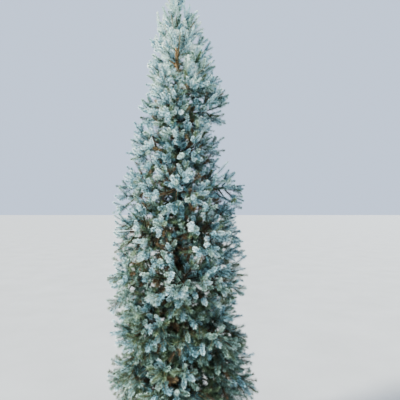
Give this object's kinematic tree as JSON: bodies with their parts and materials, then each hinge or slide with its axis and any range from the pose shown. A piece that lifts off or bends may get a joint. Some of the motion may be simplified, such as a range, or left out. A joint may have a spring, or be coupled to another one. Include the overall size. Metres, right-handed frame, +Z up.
{
  "type": "potted blue spruce",
  "caption": "Narrow conical silver-blue conifer with tiers of needled boughs, standing upright in a round black nursery pot.",
  "frame": {"origin": "centre of the pot's flat underside", "axes": "+X to the right of the tree as its front is seen, +Y towards its back, +Z up"},
  "size_m": [0.8414, 0.8367, 2.93],
  "materials": {
    "pot": "dusty black plastic",
    "soil": "composted bark",
    "bark": "scaly bark",
    "foliage": "waxy silver-blue needles"
  },
  "bodies": {
    "root": {"pot": "pot", "soil": "soil", "trunk": "bark", "bough_7a": "bark", "bough_7b": "bark", "bough_7c": "bark", "bough_7d": "bark", "bough_8a": "bark", "bough_8b": "bark", "bough_8c": "bark", "bough_8d": "bark", "bough_9a": "bark", "bough_9b": "bark", "bough_9c": "bark", "bough_9d": "bark", "bough_10a": "bark", "bough_10b": "bark", "bough_10c": "bark", "bough_10d": "bark", "foliage_1a": "foliage", "foliage_1b": "foliage", "foliage_1c": "foliage", "foliage_1d": "foliage", "foliage_2a": "foliage", "foliage_2b": "foliage", "foliage_2c": "foliage", "foliage_2d": "foliage", "foliage_3a": "foliage", "foliage_3b": "foliage", "foliage_3c": "foliage", "foliage_3d": "foliage", "foliage_4a": "foliage", "foliage_4b": "foliage", "foliage_4c": "foliage", "foliage_4d": "foliage", "foliage_5a": "foliage", "foliage_5b": "foliage", "foliage_5c": "foliage", "foliage_5d": "foliage", "foliage_6a": "foliage", "foliage_6b": "foliage", "foliage_6c": "foliage", "foliage_6d": "foliage", "foliage_7a": "foliage", "foliage_7b": "foliage", "foliage_7c": "foliage", "foliage_7d": "foliage", "foliage_8a": "foliage", "foliage_8b": "foliage", "foliage_8c": "foliage", "foliage_8d": "foliage", "foliage_9a": "foliage", "foliage_9b": "foliage", "foliage_9c": "foliage", "foliage_9d": "foliage", "foliage_10a": "foliage", "foliage_10b": "foliage", "foliage_10c": "foliage", "foliage_10d": "foliage", "foliage_leader": "foliage"}
  },
  "joints": []
}
